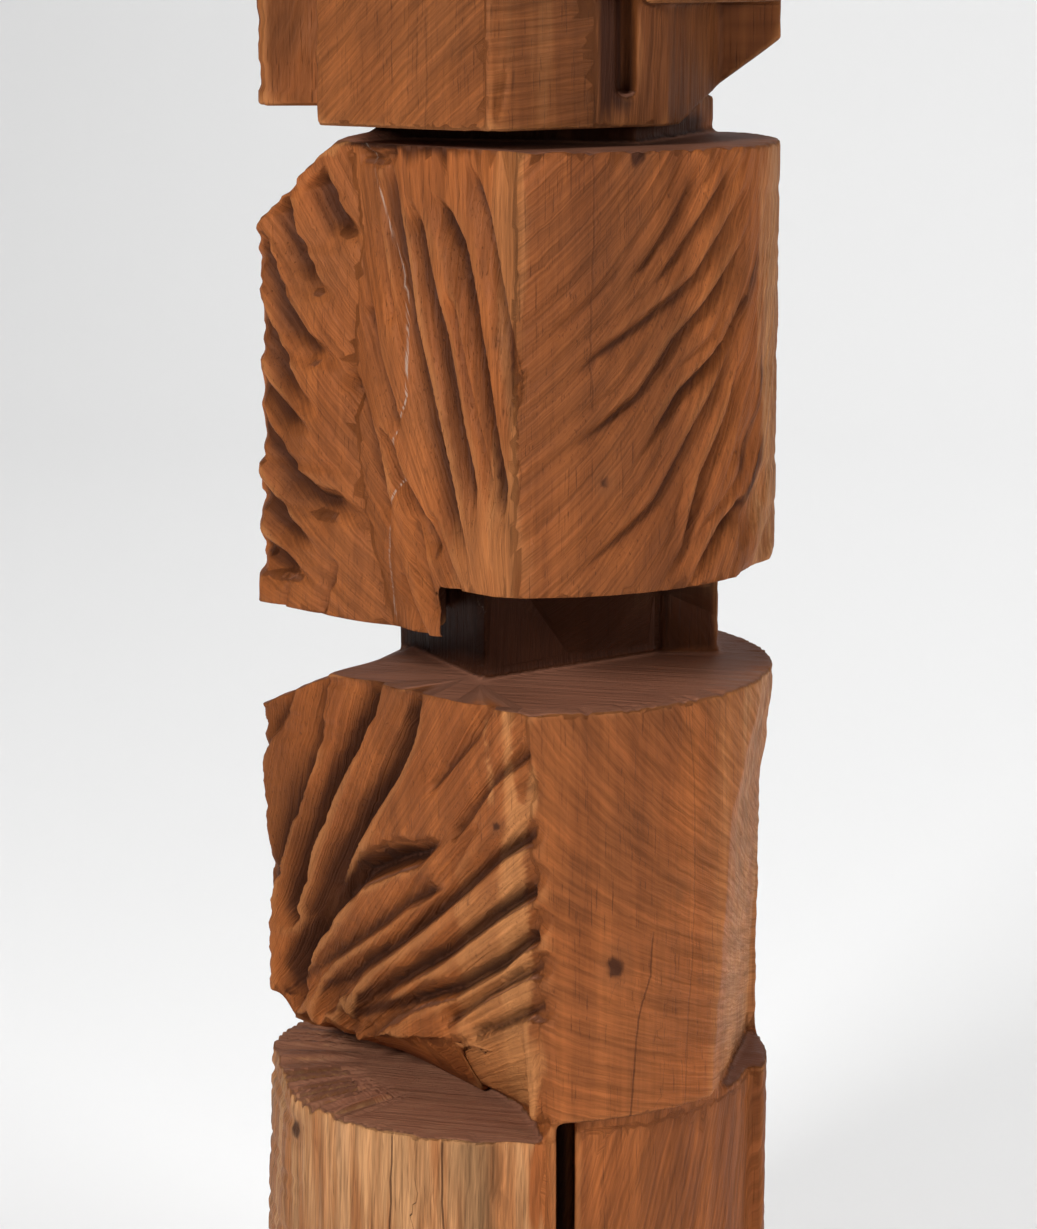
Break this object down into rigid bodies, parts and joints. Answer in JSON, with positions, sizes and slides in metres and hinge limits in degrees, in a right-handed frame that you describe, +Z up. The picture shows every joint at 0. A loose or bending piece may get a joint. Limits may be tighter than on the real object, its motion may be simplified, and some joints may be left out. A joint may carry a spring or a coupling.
{
  "type": "totem pole",
  "caption": "Free-standing carved wooden totem: blocks cut from one round log, joined by narrow necks, with fans of gouge grooves.",
  "frame": {"origin": "centre of the flat round foot, on the floor", "axes": "+Z up along the log's axis, the front ridge of the blocks towards -Y, +X to the right of someone who faces it"},
  "size_m": [0.34, 0.34, 1.2],
  "materials": {
    "wood": "bare gouge-cut and saw-cut reddish brown heartwood with paler sapwood, matt"
  },
  "bodies": {
    "root": {"totem": "wood"}
  },
  "joints": []
}
